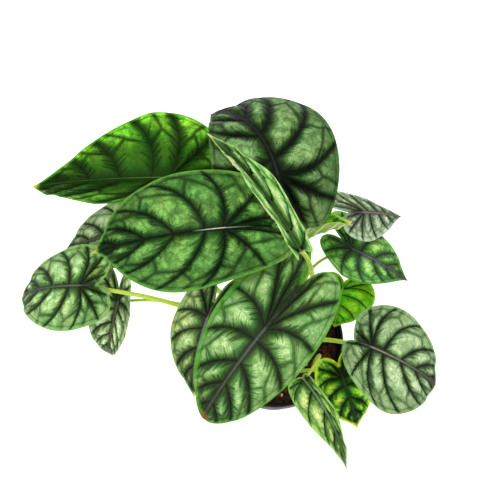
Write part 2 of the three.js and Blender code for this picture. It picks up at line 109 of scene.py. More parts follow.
# Petioles. Flare, stripes, collar and sheath groove are shares of the radius, COLLAR_SHARE is one
# of the petiole's length, SHEATH_ANGLE is in radians, and the last two are directions in the unit
# leaf: its upper face, and where a petiole comes from.
STALK_SIDES = 20
STALK_STEPS = 56
STALK_SAMPLES = 400
STALK_BURIED = 14
STALK_FLARE = 1.9
STALK_STRIPES = 7
STRIPE_HEIGHT = 0.03
COLLAR_SWELL = 0.25
COLLAR_SHARE = 0.02
SHEATH_DEPTH = 0.3
SHEATH_ANGLE = 0.45
PETIOLE_GAP = 1.0
UNIT_FACE = (0, 0, 1)
UNIT_ARRIVAL = (0, 0.5, 1)

# Pot. SHARP_ANGLE is in degrees.
POT_SIDES = 144
RIM_WALL = 2.4
RIM_BAND = 10
RIM_DRAFT = 0.2
LIP_DROP = 1.5
LIP_INSET = 0.4
EDGE_ROUND = 0.8
SHARP_ANGLE = 40
BASE_RADIUS = 39
SHOULDER_RADIUS = 57
BASE_CHAMFER = 2
FOOT_RING = 33
FOOT_RISE = 0.6
WALL = 1.6
FLOOR = 2.5
DRAIN_HOLES = 8
DRAIN_RADIUS = 4.5
DRAIN_CIRCLE = 27
DRAIN_SIDES = 28

# Potting mix. Its top rolls in waves, whose rates are radians per millimetre, with a fractal
# noise on them.
SOIL_LEVEL = 94
SOIL_INSET = 0.2
SOIL_SHOULDER = 10
SOIL_BUMP = 1.3
SOIL_RATE_X = 0.31
SOIL_RATE_Y = 0.27
SOIL_SKEW = 0.11
SOIL_SHIFT = 1.3
SOIL_ROUGH = 1.5
SOIL_LUMP = 5
SOIL_SLICE = 3
FRACTAL_STEP = 0.6
FRACTAL_GAP = 2.1
FRACTAL_OCTAVES = 5
SOIL_RINGS = 70
SOIL_SIDES = 220
SOIL_SEED = 12

# Chips of bark and grains of perlite: sizes, lift and inset in millimetres, turn and tilt in
# radians, and the rest shares of a chip's size or of the way to its next corner
CHIPS = 420
PERLITE = 34
CHIP_SIZE = (1.2, 4.2)
CHIP_FLAT = 0.4
PERLITE_SIZE = (1.2, 1.9)
PERLITE_FLAT = 0.8
CHIP_SIDES = 6
CHIP_LEVEL = 0.45
CHIP_JITTER = 0.3
CHIP_REACH = (0.7, 1.1)
CHIP_WIDTH = (0.45, 0.9)
CHIP_TURN = 6.28
CHIP_TILT = 0.7
CHIP_LIFT = 0.3
CHIP_INSET = 3

# Each vein starts on the spine (0 the tip, 1 the petiole, 2 the base of the sinus) and ends on the
# margin (0 the tip, 1 the widest place, 2 the end of the lobe, 3 the sinus). Bow bends it.
VEIN_SPINE = [0, 0.22, 0.44, 0.66, 0.88, 1, 1, 1, 2]
VEIN_MARGIN = [0, 0.20, 0.35, 0.52, 0.79, 1.12, 1.60, 2.34, 3]
VEIN_BOW = [0, 0.14, 0.20, 0.24, 0.32, 0.32, 0.10, 0, 0]
LAST_VEIN = len(VEIN_SPINE) - 1

# Shape of a leaf. Lengths are shares of its length from petiole to tip, stalk and tail are
# millimetres, and angles are degrees. A key may end in _l or _r, for the half on the left or the
# right of a viewer who looks from the petiole to the tip.
PLAIN_LEAF = dict(
    width=0.44, widest=0.12, shoulder=0.42, tip_len=0.16, tip_wide=0.02,
    lobe=0.42, lobe_x=0.5, full=0.56, sinus=0.2, arch=1,
    fold=8, cup=-20, droop=30, lobe_droop=15, roll=0, sweep=0, turn=0, bulge=0.022,
    stalk=1.6, tail=40,
)

# Each leaf: where its blade joins the petiole (at) and where its tip is, then its shape, then its
# petiole: the foot at the soil, how far it leans over its rise, and the length and way (arrive) of
# the stretch that reaches the blade.
LEAVES = dict(
    back_left=dict(
        at=(-90, 113, 202), tip=(-207, 114, 180), width_l=0.44, width_r=0.48, widest_l=0.2,
        widest_r=0.1, shoulder_l=0.38, shoulder_r=0.22, tip_len_l=0.08, tip_len_r=0.22,
        tip_wide_l=0.06, tip_wide_r=0.05, lobe_l=0.28, lobe_r=0.42, lobe_x_l=0.5, lobe_x_r=0.3,
        sinus=0.15, fold_l=46, fold_r=8, cup_l=10, cup_r=-15, droop=25, lobe_droop=20, roll=5,
        foot=(-12, 16), rise=70, lean=(-10, 10), tail=45,
    ),
    back_round=dict(
        at=(0, 95, 250), tip=(-56, 174, 196), width_l=0.47, width_r=0.52, widest_l=0.04,
        widest_r=0.18, shoulder_l=0.44, shoulder_r=0.74, tip_len=0.08, lobe_l=0.36, lobe_r=0.45,
        fold=5, cup=-25, droop=60, lobe_droop=25, roll=-10, sweep=0.08, foot=(0, 26), rise=90,
        lean=(-4, 18), tail=45,
    ),
    centre_left=dict(
        at=(-42, 38, 280), tip=(-146, 32, 240), width=0.42, widest=0.26, shoulder_l=0.44,
        shoulder_r=0.5, tip_len_l=0.18, tip_len_r=0.12, lobe_l=0.48, lobe_r=0.4, lobe_x_l=0.3,
        lobe_x_r=0.35, full_l=0.25, full_r=0.56, sinus=0.34, fold_l=12, fold_r=20, cup=-25,
        lobe_droop=25, foot=(-14, -2), rise=100, lean=(-6, 4), tail=50,
    ),
    folded_top=dict(
        at=(14, 10, 310), tip=(-55, 111, 292), width=0.2, widest=0.22, shoulder=0.35, tip_len=0.22,
        lobe=0.02, full=0.5, sinus=0.02, fold_l=66, fold_r=76, cup=5, droop=15, lobe_droop=40,
        sweep=0.04, bulge=0.012, foot=(24, 4), rise=80, lean=(4, 6), tail=62,
        arrive=(-0.32, -0.1, 0.94),
    ),
    front_large=dict(
        at=(-11, -33, 250), tip=(-59, -90, 200), width=0.45, widest_l=0.05, widest_r=0.06,
        tip_len_l=0.01, tip_len_r=0.04, tip_wide_l=0.22, tip_wide_r=0.1, lobe_l=0.72, lobe_r=0.84,
        lobe_x_l=0.35, lobe_x_r=0.65, sinus=0.5, arch=0.9, fold=6, droop=45, lobe_droop=10,
        foot=(0, -10), rise=80, lean=(4, 0), tail=45,
    ),
    right_round=dict(
        at=(79, -25, 170), tip=(137, -43, 115), width_l=0.51, width_r=0.54, widest_l=0.26,
        widest_r=0.32, shoulder_l=0.5, shoulder_r=0.45, tip_len=0.05, lobe_l=0.24, lobe_r=0.3,
        lobe_x_l=0.4, lobe_x_r=0.15, full_l=0.5, full_r=0.3, fold=5, droop=40, foot=(22, -8),
        rise=70, lean=(4, -4), tail=42, arrive=(0.97, -0.2, 0.0),
    ),
    right_glossy=dict(
        at=(65, 61, 170), tip=(113, 40, 148), lobe=0.5, fold=10, cup=-25, lobe_droop=20, turn=-20,
        foot=(22, 20), rise=56, lean=(0, 16), tail=45, arrive=(0.97, 0.12, 0.2), stalk=1.1,
    ),
    right_dull=dict(
        at=(73, 84, 196), tip=(106, 88, 176), width=0.62, widest_l=-0.45, widest_r=0.1,
        shoulder_l=0.35, shoulder_r=0.42, tip_len_l=0.55, tip_len_r=0.16, tip_wide_l=0.14,
        tip_wide_r=0.02, lobe_l=0.9, lobe_r=0.5, lobe_x_l=0.6, lobe_x_r=0.4, sinus=0.35,
        arch_l=0.15, arch_r=0.5, fold=-15, cup=-15, droop=20, lobe_droop=10, bulge=0.018,
        foot=(12, 30), rise=80, lean=(-6, 24), tail=60, arrive=(0.95, 0.2, 0.2),
    ),
    young_back=dict(
        at=(23, 55, 216), tip=(62, 72, 206), width_l=0.5, width_r=0.4, lobe=0.3, sinus=0.12,
        fold_l=15, fold_r=100, cup=0, droop=15, lobe_droop=10, bulge=0.012, foot=(13, 12), rise=80,
        lean=(2, 20), tail=25, stalk=1.2,
    ),
    young_right=dict(
        at=(57, 33, 146), tip=(52, 11, 106), width_l=0.62, width_r=0.45, lobe=0.3, sinus=0.15,
        fold=5, cup=-15, lobe_droop=10, foot=(33, 13), rise=25, lean=(4, 2), tail=14, stalk=1.2,
    ),
    front_small=dict(
        at=(56, -44, 142), tip=(70, -78, 104), width=0.45, sinus=0.24, lobe_droop=10,
        foot=(16, -26), rise=25, lean=(6, -6), tail=18, stalk=1.3,
    ),
    front_narrow=dict(
        at=(22, -55, 180), tip=(59, -116, 115), width_l=0.13, width_r=0.22, tip_len=0.2, lobe=0.06,
        sinus=0.03, arch=0.7, fold_l=75, fold_r=30, cup_l=0, cup_r=-10, droop=15, lobe_droop=10,
        sweep=-0.05, bulge=0.016, foot=(33, -22), rise=50, lean=(4, 4), tail=36,
        arrive=(-0.5, -0.7, 0.35), stalk=1.2,
    ),
    far_left=dict(
        at=(-162, 22, 190), tip=(-219, 31, 132), width_l=0.46, width_r=0.45, shoulder_l=0.5,
        shoulder_r=0.44, tip_len=0.05, lobe_l=0.38, lobe_r=0.3, fold=5, droop=40, turn=4,
        foot=(-26, -8), rise=100, lean=(-16, 4), tail=80, arrive=(-0.97, 0.16, -0.1),
    ),
    left_shaded=dict(
        at=(-123, 79, 170), tip=(-185, 73, 130), width=0.42, lobe=0.35, sinus=0.12, fold=5,
        lobe_droop=10, foot=(-23, 15), rise=45, lean=(-14, 12),
    ),
    left_hanging=dict(
        at=(-134, 20, 150), tip=(-147, -9, 95), width_l=0.3, width_r=0.38, tip_len=0.02,
        tip_wide=0.16, lobe=0.5, fold_l=40, fold_r=15, cup=-10, droop=20, lobe_droop=10, turn=10,
        foot=(-31, 4), rise=56, lean=(-12, 8), tail=45, arrive=(-0.93, -0.12, -0.08), stalk=1.1,
    ),
    front_left=dict(
        at=(-56, -9, 200), tip=(-68, -63, 150), width_l=0.4, width_r=0.35, tip_len=0.2, lobe=0.5,
        fold_l=30, fold_r=5, cup=-25, droop=25, sweep=0.05, foot=(-13, -20), rise=60, lean=(-8, 0),
        tail=35,
    ),
)

# Finish of a blade. cell is the crown of each quilted field, flank the green round it, band the
# dark zone along a vein, core the vein itself, rim the plain edge outside the inner line, rib the
# midrib, point the drip tip and back the underside. wide is the half width of a band near the
# midrib, rim_mm that of the edge and rib_mm that of the midrib, in millimetres. inner and outer
# say how far the crowns show near the midrib and at the margin, and band_on and rim_on how far
# the dark zones and the edge do. rib_reach is how far the midrib runs, in millimetres, before it
# has faded to rib_end. patch is how much of a crown is left where it is faintest, fleck how strong
# its yellow flecks are, and shine how strongly the surface reflects. light is painted shade: how
# bright a half is painted, darker for a half that is turned away from the light.
PLAIN_LOOK = dict(
    slot="leaf_dark", cell="#7DAC5F", flank="#3E622E", band="#16280E", rim="#5FA03A", rib="#8C9A78",
    point="#A9B83A", back="#8FA873", core="#0C140A", wide=3.2, rim_mm=1.5, rib_mm=0.7, inner=1,
    outer=0.35, light=1, rough=0.42, shine=0.1, fleck=0.0, rim_on=0.8, rib_reach=60, rib_end=0.3,
    band_on=1, patch=0.4,
)
LOOKS = dict(
    back_left=dict(
        cell="#8FEC3D", flank="#28540F", band="#0C2104", rim="#5FA81E", rib="#4E7434",
        # light_l paints shade on the left half, as if that half were turned away from the light
        point="#A9D03C", core="#12240A", wide=5.4, rib_mm=0.35, inner=0.1, outer=1, light_l=0.66,
        band_on=0.7, rim_on=0.7, shine=0.05,
    ),
    back_round=dict(
        cell="#8EB870", flank="#315121", band="#081206", rim="#3E6A28", rib="#2A2E28",
        point="#6A7A4C", wide=4.4, rim_mm=1.2, rim_on=0.6, shine=0.06,
    ),
    centre_left=dict(
        cell="#7BB254", flank="#2E5821", band="#0F210A", rim="#5F9A38", rib="#C4CCB8",
        point="#C6C84A", wide=2.7, rib_mm=0.4, fleck=0.2, band_on=0.9, patch=0.3, rib_reach=24,
        rib_end=0, shine=0.06,
    ),
    folded_top=dict(
        cell="#F6FFC7", flank="#8ED56E", band="#2D531D", rim="#A8C868", rib="#7E9668",
        point="#DCE2A4", back="#B9C98A", wide=1.9, rim_mm=0.8, rim_on=0.6, band_on=0.8,
    ),
    front_large=dict(
        slot="leaf_silver", cell="#C3E499", flank="#54843B", band="#213019", rim="#529A28",
        rib="#50544A", point="#7A5A2C", core="#121A0E", wide=5.0, rim_mm_l=1.2, rim_mm_r=3.0,
        rib_mm=0.9, fleck=0.3, shine=0.08, rib_reach=110, rib_end=0.4,
    ),
    right_round=dict(
        slot="leaf_silver", cell="#D1E5B2", flank="#73965A", band="#1E341A", rim="#88B466",
        rib="#8A807C", point="#6A4A34", wide=2.6, rim_mm=1.2,
    ),
    right_glossy=dict(
        cell="#CBFE8A", flank="#64B13D", band="#254F1C", rim="#5CA034", rib="#6A6070",
        point="#3E4A2A", wide=3.0, rough=0.28, shine=0.4,
    ),
    right_dull=dict(
        cell="#EDF9D9", flank="#A7BD93", band="#516349", rim="#B4D1BA", rib="#8A6C74",
        point="#5B5A50", wide=2.0, rough=0.6, rim_on=0.5,
    ),
    young_back=dict(
        slot="leaf_young", cell="#8CC42C", flank="#68A418", band="#427C12", rim="#B4D648",
        rib="#B4D060", point="#E6D84A", back="#7BA438", wide=1.2, rough=0.36,
    ),
    young_right=dict(
        slot="leaf_young", cell="#AAFF30", flank="#77CD19", band="#4CA108", rim="#A0DC34",
        rib="#9ACB4C", point="#A9CC3C", back="#9CC24C", wide=1.4, band_on=0.6, rough=0.34,
    ),
    front_small=dict(
        slot="leaf_young", cell="#FFFF65", flank="#7DD329", band="#193D0A", rim="#E3FF45",
        rib="#2C5020", point="#D0E02C", wide=3.4, rough=0.34, rim_mm=1.8, rim_on=0.9,
    ),
    front_narrow=dict(
        slot="leaf_silver", cell="#F4FFAB", flank="#91C75B", band="#40682C", rim="#9CCB6C",
        rib="#9FB28C", point="#9CB868", back="#C2CFA0", wide=2.0, rim_mm=1.2,
    ),
    far_left=dict(
        slot="leaf_silver", cell="#C3EA9F", flank="#58843C", band="#203616", rim="#7FB65C",
        rib="#5A6258", point="#C8CC8C", wide=2.6, rim_mm=1.4, fleck=0.7,
    ),
    left_shaded=dict(
        cell="#B3C69B", flank="#7D9366", band="#354325", rim="#78865C", rib="#5A5A4C",
        point="#6A6A4C", wide=2.2, rough=0.6, rim_on=0.5,
    ),
    left_hanging=dict(
        slot="leaf_silver", cell="#ECFFCE", flank="#8CAD6C", band="#324924", rim="#8CA470",
        rib="#6A6658", point="#7A7C5C", wide=1.8, rough=0.58, rim_on=0.5,
    ),
    front_left=dict(
        slot="leaf_silver", cell="#D9EFA1", flank="#6F8E4C", band="#2A3A22", rim="#7CA458",
        rib="#7C6E76", point="#C8CC9A", back="#BFC69A", rim_mm=1.2, fleck=0.8,
    ),
)


def linear(text):
    """An sRGB hex colour as linear RGBA."""
    parts = [int(text[i:i + 2], 16) / 255 for i in (1, 3, 5)]
    return (*[c / 12.92 if c <= 0.04045 else ((c + 0.055) / 1.055) ** 2.4 for c in parts], 1.0)


# Leaf geometry

def value(leaf, key, side=0):
    """What a leaf has for a key on one side, or else what a plain leaf has."""
    half = key + ("_r" if side > 0 else "_l")
    return leaf.get(half, leaf.get(key, PLAIN_LEAF.get(key)))


def smooth(share):
    """A share of a way, held between 0 and 1 and eased at both ends."""
    share = np.clip(share, 0, 1)
    return share * share * (3 - 2 * share)


def bump(distance, width):
    """A soft ridge that stands on a line: 1 on it and nearly 0 two widths away."""
    return np.exp(-(distance / width) ** 2)


def bezier(corners, share):
    """Points of a Bezier curve with any number of corners."""
    degree = len(corners) - 1
    share = np.asarray(share)[..., None]
    return sum(
        math.comb(degree, k) * (1 - share) ** (degree - k) * share ** k * corners[k]
        for k in range(degree + 1)
    )


def margin_curves(leaf, side):
    """The margin of a half leaf: tip to widest place, then lobe, and back to the sinus."""
    width = value(leaf, "width", side)
    widest = value(leaf, "widest", side)
    lobe = value(leaf, "lobe", side)
    end_x = width * value(leaf, "lobe_x", side)
    sinus = value(leaf, "sinus")
    tip = (0, 1)
    wide = (width, widest)
    end = (end_x, -lobe)
    notch = (0, -sinus)
    curves = (
        (tip, (value(leaf, "tip_wide", side), 1 - value(leaf, "tip_len", side)),
         (width, widest + value(leaf, "shoulder", side)), wide),
        (wide, (width, widest - value(leaf, "full", side) * (widest + lobe)),
         (end_x + LOBE_ROUND * (width - end_x), -lobe), end),
        (end, (end_x * (1 - LOBE_ROUND), -lobe),
         (end_x * NOTCH_WIDTH, -sinus - NOTCH_DEPTH * (lobe - sinus)), notch),
    )
    return [np.array(corners, float) for corners in curves]


def flat_points(leaf, side, row, out):
    """Points of the flat half leaf, and the length of their rows. Row counts veins from the tip."""
    veins = np.arange(LAST_VEIN + 1)
    spine = np.interp(row, veins, VEIN_SPINE)
    margin = np.interp(row, veins, VEIN_MARGIN)
    bow = (np.interp(row, veins, VEIN_BOW) * value(leaf, "arch", side))[..., None]
    foot = np.where(spine <= 1, 1 - spine, -value(leaf, "sinus") * (spine - 1))
    start = np.stack([np.zeros_like(foot), foot], -1)
    curves = margin_curves(leaf, side)
    end = bezier(curves[2], np.clip(margin - 2, 0, 1))
    end = np.where((margin <= 2)[..., None], bezier(curves[1], np.clip(margin - 1, 0, 1)), end)
    end = np.where((margin <= 1)[..., None], bezier(curves[0], np.clip(margin, 0, 1)), end)
    across = end - start
    middle = start + across / 2 + bow * np.stack([across[..., 1], -across[..., 0]], -1)
    share = out[..., None]
    flat = (1 - share) ** 2 * start + 2 * share * (1 - share) * middle + share ** 2 * end
    return flat, np.hypot(across[..., 0], across[..., 1])


def arc(length, rate):
    """Where a line ends that starts level and turns at a steady rate: how far along, and up."""
    rate = np.where(np.abs(rate) < 1e-6, 1e-6, rate)
    return np.sin(rate * length) / rate, (1 - np.cos(rate * length)) / rate


def leaf_length(leaf):
    """The length of the leaf along its drooping midrib."""
    reach = (Vector(leaf["tip"]) - Vector(leaf["at"])).length
    along, down = arc(1.0, math.radians(value(leaf, "droop")))
    return reach / math.hypot(along, down)


def shaped(leaf, side, flat, height):
    """The folded, cupped and bent half leaf at unit length, raised by height."""
    x = flat[..., 0]
    y = flat[..., 1]
    fold_width = FOLD_WIDTH / leaf_length(leaf)
    cup = math.radians(value(leaf, "cup", side)) / value(leaf, "width", side)
    fold = math.radians(value(leaf, "fold", side)) / fold_width
    soft = np.minimum(x, fold_width)
    near_across, near_up = arc(soft, fold + cup)
    slope = (fold + cup) * soft
    far_across, far_up = arc(x - soft, cup)
    across = near_across + far_across * np.cos(slope) - far_up * np.sin(slope)
    lift = near_up + far_across * np.sin(slope) + far_up * np.cos(slope)
    slope = slope + cup * (x - soft)
    across = across - height * np.sin(slope)
    lift = lift + height * np.cos(slope)
    lobe_length = (value(leaf, "lobe", -1) + value(leaf, "lobe", 1)) / 2
    lobe_rate = math.radians(value(leaf, "lobe_droop")) / lobe_length
    rate = np.where(y < 0, lobe_rate, math.radians(value(leaf, "droop")))
    along, down = arc(y, rate)
    sweep = 4 * value(leaf, "sweep")
    turn = math.tan(math.radians(value(leaf, "turn")))
    shift = np.where(y < 0, (sweep - turn) * y, sweep * y * (1 - y))
    return np.stack([
        side * across + shift, along + lift * np.sin(rate * y), lift * np.cos(rate * y) - down], -1)


def place_leaf(leaf):
    """Turns and scales the unit leaf so that it runs from its petiole to its tip in the plant."""
    at = Vector(leaf["at"])
    midrib = (Vector(leaf["tip"]) - at).normalized()
    along, down = arc(1.0, math.radians(value(leaf, "droop")))
    across = midrib.cross(Vector((0, 0, 1))).normalized()
    across.rotate(Matrix.Rotation(-math.radians(value(leaf, "roll")), 3, midrib))
    face = across.cross(midrib)
    basis = Matrix((across, midrib, face)).transposed().to_4x4()
    level = Matrix.Rotation(-math.atan2(-down, along), 4, "X")
    return Matrix.Translation(at) @ basis @ level @ Matrix.Scale(leaf_length(leaf), 4)


def direction(leaf, way):
    """A direction in the unit leaf, as it lies in the plant."""
    return (place_leaf(leaf).to_3x3() @ Vector(way)).normalized()


def moved(points, matrix):
    """Points after a matrix has turned, scaled and shifted them."""
    m = np.array(matrix)
    return points @ m[:3, :3].T + m[:3, 3]


def nearest(points, line):
    """Distance from each point to the nearest of a line's points."""
    best = np.full(len(points), 1e9)
    for chunk in np.array_split(line, max(1, len(line) // NEAR_CHUNK)):
        across = points[:, None, 0] - chunk[None, :, 0]
        along = points[:, None, 1] - chunk[None, :, 1]
        best = np.minimum(best, np.hypot(across, along).min(1))
    return best


def vein_lines(leaf, side):
    """The main veins of a half leaf, the forks that meet their neighbours in arches with a spur
    from there to the margin, and the short side shoots of each main vein."""
    random = np.random.default_rng([leaf["seed"], side + 1])
    run = np.linspace(0, 1, LINE_SAMPLES)
    meets = random.uniform(*FORK_MEET, LAST_VEIN + 1)
    main = []
    forks = []
    shoots = []
    for k in range(1, LAST_VEIN):
        main.append(flat_points(leaf, side, np.full_like(run, k), run)[0])
        lean = random.uniform(-FORK_LEAN, FORK_LEAN)
        spur = meets[k] + (1 - meets[k]) * run
        forks.append(flat_points(leaf, side, k + 0.5 + lean * run, spur)[0])
        for way, meet in ((-1, meets[k - 1]), (1, meets[k])):
            start = random.uniform(*FORK_START)
            arch = start + (meet - start) * run
            forks.append(flat_points(leaf, side, k + 0.5 * way * smooth(run), arch)[0])
            for leave in SHOOT_STARTS:
                leave = leave + random.uniform(-SHOOT_SHIFT, SHOOT_SHIFT)
                spread = way * random.uniform(*SHOOT_SPREAD)
                shoot = leave + random.uniform(*SHOOT_RUN) * run
                shoots.append(flat_points(leaf, side, k + spread * run, shoot)[0])
    return np.concatenate(main), np.concatenate(forks), np.concatenate(shoots)


def half_leaf(leaf, side, rows, columns):
    """One half of a blade as a grid of points in the plant, with what its finish needs to know."""
    size = leaf_length(leaf)
    row, out = np.meshgrid(
        np.linspace(0, LAST_VEIN, rows + 1), np.linspace(0, 1, columns + 1), indexing="ij")
    flat, span = flat_points(leaf, side, row, out)
    spots = flat.reshape(-1, 2) * size
    main, forks, shoots = vein_lines(leaf, side)
    edge = np.linspace(0, LAST_VEIN, MARGIN_SAMPLES)
    margin = flat_points(leaf, side, edge, np.ones_like(edge))[0]
    rib_mm = spots[:, 0]
    vein_mm = np.minimum(nearest(spots, main * size), VEIN_BY_RIB * rib_mm)
    fork_mm = nearest(spots, forks * size)
    shoot_mm = nearest(spots, shoots * size)
    margin_mm = nearest(spots, margin * size)
    tip_mm = np.hypot(spots[:, 0], spots[:, 1] - size)
    behind = smooth(-spots[:, 1] / BEHIND_FADE)

    rise = smooth((out - BULGE_START) / (BULGE_RISE - BULGE_START))
    fade = 1 - BULGE_FADE * out ** 3
    height = value(leaf, "bulge") * np.sin(np.pi * (row % 1)) * rise * fade
    share = row / LAST_VEIN
    ends = np.sqrt(np.maximum(0, np.sin(np.pi * share)))
    height = height + MARGIN_WAVE * np.sin(2 * np.pi * (MARGIN_WAVES * share)) * out ** 3 * ends
    calm = np.minimum(1, span / RELIEF_SPAN) * np.minimum(1, flat[..., 0] / RELIEF_OFFSET)
    away = smooth(np.minimum(margin_mm, tip_mm) / RELIEF_EDGE)
    inner = smooth((margin_mm - INNER_LINE) / INNER_FADE)
    grooves = GROOVE_DEPTH * bump(vein_mm, GROOVE_WIDTH) * inner
    grooves = grooves + FORK_DEPTH * bump(fork_mm, FORK_WIDTH) * inner
    grooves = grooves + SHOOT_DEPTH * bump(shoot_mm, SHOOT_WIDTH) * inner
    grooves = grooves + FORK_DEPTH * bump(margin_mm - INNER_LINE, FORK_WIDTH)
    grooves = grooves - CREST_HEIGHT * bump(rib_mm, CREST_WIDTH) * (1 - behind)
    height = height * calm - (grooves * away).reshape(row.shape) / size
    points = moved(shaped(leaf, side, flat, height), place_leaf(leaf))
    facts = dict(
        vein_mm=vein_mm, fork_mm=fork_mm, shoot_mm=shoot_mm, rib_mm=rib_mm, tip_mm=tip_mm,
        margin_mm=margin_mm, rim=margin_mm / value(leaf, "rim_mm", side),
        hub_mm=np.hypot(spots[:, 0], spots[:, 1]), along_mm=(out * span * size).ravel(),
        out=out.ravel(), behind=behind,
        # light is the half's painted shade, fading in from the midrib
        light=1 + (value(leaf, "light", side) - 1) * smooth(rib_mm / PAINTED_SHADE_FADE),
    )
    return points, facts


def joined(points, facts, faces):
    """Joins points that coincide and drops what has no area."""
    first, where = np.unique(
        np.round(points, 4), axis=0, return_index=True, return_inverse=True)[1:]
    where = where.ravel()
    clean = []
    for face in faces:
        corners = []
        for corner in where[list(face)]:
            if corner not in corners:
                corners.append(int(corner))
        if len(corners) > 2:
            clean.append(corners)
    return points[first], {name: data[first] for name, data in facts.items()}, clean


def blade_sheet(leaf):
    """Both halves of a blade as one sheet of upward faces."""
    size = leaf_length(leaf)
    edge = np.linspace(0, LAST_VEIN, OUTLINE_SAMPLES)
    outline = [flat_points(leaf, side, edge, np.ones_like(edge)) for side in (-1, 1)]
    longest = max(np.hypot(*np.diff(line, axis=0).T).sum() for line, span in outline) * size
    widest = max(span.max() for line, span in outline) * size
    rows = LAST_VEIN * math.ceil(longest / LAST_VEIN / MARGIN_STEP)
    columns = math.ceil(widest / SPAN_STEP)
    points = []
    facts = []
    faces = []
    for side in (-1, 1):
        first = (rows + 1) * (columns + 1) * len(points)
        grid = np.arange((rows + 1) * (columns + 1)).reshape(rows + 1, columns + 1) + first
        quads = np.stack([grid[:-1, :-1], grid[1:, :-1], grid[1:, 1:], grid[:-1, 1:]], -1)
        faces.extend((quads if side > 0 else quads[..., ::-1]).reshape(-1, 4).tolist())
        half, known = half_leaf(leaf, side, rows, columns)
        points.append(half.reshape(-1, 3))
        facts.append(known)
    together = {name: np.concatenate([half[name] for half in facts]) for name in facts[0]}
    return joined(np.concatenate(points), together, faces)


def sheet_normals(points, faces):
    """The sheet's direction at each point, from the diagonals of the faces round it."""
    normals = np.zeros_like(points)
    for count in (3, 4):
        some = np.array([face for face in faces if len(face) == count])
        if not len(some):
            continue
        one = points[some[:, 2]] - points[some[:, 0]]
        other = points[some[:, -1]] - points[some[:, 1]]
        for corner in range(count):
            np.add.at(normals, some[:, corner], np.cross(one, other))
    return normals / np.maximum(np.linalg.norm(normals, axis=1, keepdims=True), 1e-12)


def border(faces):
    """The edges that only one face has, in that face's direction."""
    edges = {(a, b) for face in faces for a, b in zip(face, face[1:] + face[:1])}
    return [(a, b) for a, b in edges if (b, a) not in edges]


def build_blade(name, leaf):
    """The blade: a thin leaf with a rounded edge, its veins sunk above and standing out below."""
    points, facts, faces = blade_sheet(leaf)
    normals = sheet_normals(points, faces)
    rib_share = np.clip(1 - facts["behind"], 0, 1) * smooth(facts["tip_mm"] / leaf_length(leaf))
    ridge = RIB_DEPTH * rib_share * bump(facts["rib_mm"], RIB_WIDTH)
    thinning = 1 - VEIN_THINS * facts["out"]
    ridge = ridge + VEIN_DEPTH * bump(facts["vein_mm"], VEIN_WIDTH) * thinning
    top = points + BLADE_HALF * normals
    bottom = points - (BLADE_HALF + ridge)[:, None] * normals
    rim = border(faces)
    rim_points = sorted({a for a, b in rim})
    outward = np.zeros_like(points)
    for a, b in rim:
        way = np.cross(points[b] - points[a], normals[a])
        outward[a] += way
        outward[b] += way
    outward = outward / np.maximum(np.linalg.norm(outward, axis=1, keepdims=True), 1e-12)
    middle = points[rim_points] + RIM_ROUND * outward[rim_points]
    count = len(points)
    mid_index = {point: 2 * count + k for k, point in enumerate(rim_points)}
    under = [[count + corner for corner in reversed(face)] for face in faces]
    sides = []
    for a, b in rim:
        sides.append([b, a, mid_index[a], mid_index[b]])
        sides.append([mid_index[b], mid_index[a], count + a, count + b])
    everything = np.concatenate([top, bottom, middle])
    blade = mesh_object(f"leaf_{name}", everything, faces + sides + under)
    slots = [0] * (len(faces) + len(sides)) + [1] * len(under)
    blade.data.polygons.foreach_set("material_index", slots)
    for fact, data in facts.items():
        spread = np.concatenate([data, data, data[rim_points]]).astype(np.float32)
        blade.data.attributes.new(fact, "FLOAT", "POINT").data.foreach_set("value", spread)
    return blade


def mesh_object(name, points, faces):
    """A smooth-shaded mesh in the scene, from points in millimetres."""
    mesh = bpy.data.meshes.new(name)
    mesh.from_pydata((np.asarray(points) * MM).tolist(), [], faces)
    mesh.update()
    mesh.shade_smooth()
    made = bpy.data.objects.new(name, mesh)
    bpy.context.scene.collection.objects.link(made)
    return made


def finished(piece, node, materials):
    """Puts a piece in place of its node, on the plant's one body, in its finish."""
    for material in materials:
        piece.data.materials.append(material)
    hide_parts(node)
    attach(piece, BODY)
    return piece


# Petioles

def petiole_line(leaf):
    """The petiole's middle line: straight out of the soil, then one curve to the blade."""
    end = Vector(leaf["at"]) - PETIOLE_GAP * direction(leaf, UNIT_FACE)
    foot = Vector((*leaf["foot"], SOIL_LEVEL))
    start = Vector((*leaf["lean"], leaf["rise"]))
    if "arrive" in leaf:
        into = Vector(leaf["arrive"]).normalized()
    else:
        into = direction(leaf, UNIT_ARRIVAL)
    tail = value(leaf, "tail")
    corners = np.array([foot, foot + start, end - into * tail, end])
    fine = bezier(corners, np.linspace(0, 1, STALK_SAMPLES))
    root = np.array(foot - start.normalized() * STALK_BURIED)
    line = np.concatenate([root[None], fine])
    steps = np.linalg.norm(np.diff(line, axis=0), axis=1)
    travelled = np.concatenate([[0], np.cumsum(steps)])
    stops = np.linspace(0, travelled[-1], STALK_STEPS + 1)
    return np.stack([np.interp(stops, travelled, line[:, axis]) for axis in range(3)], -1)


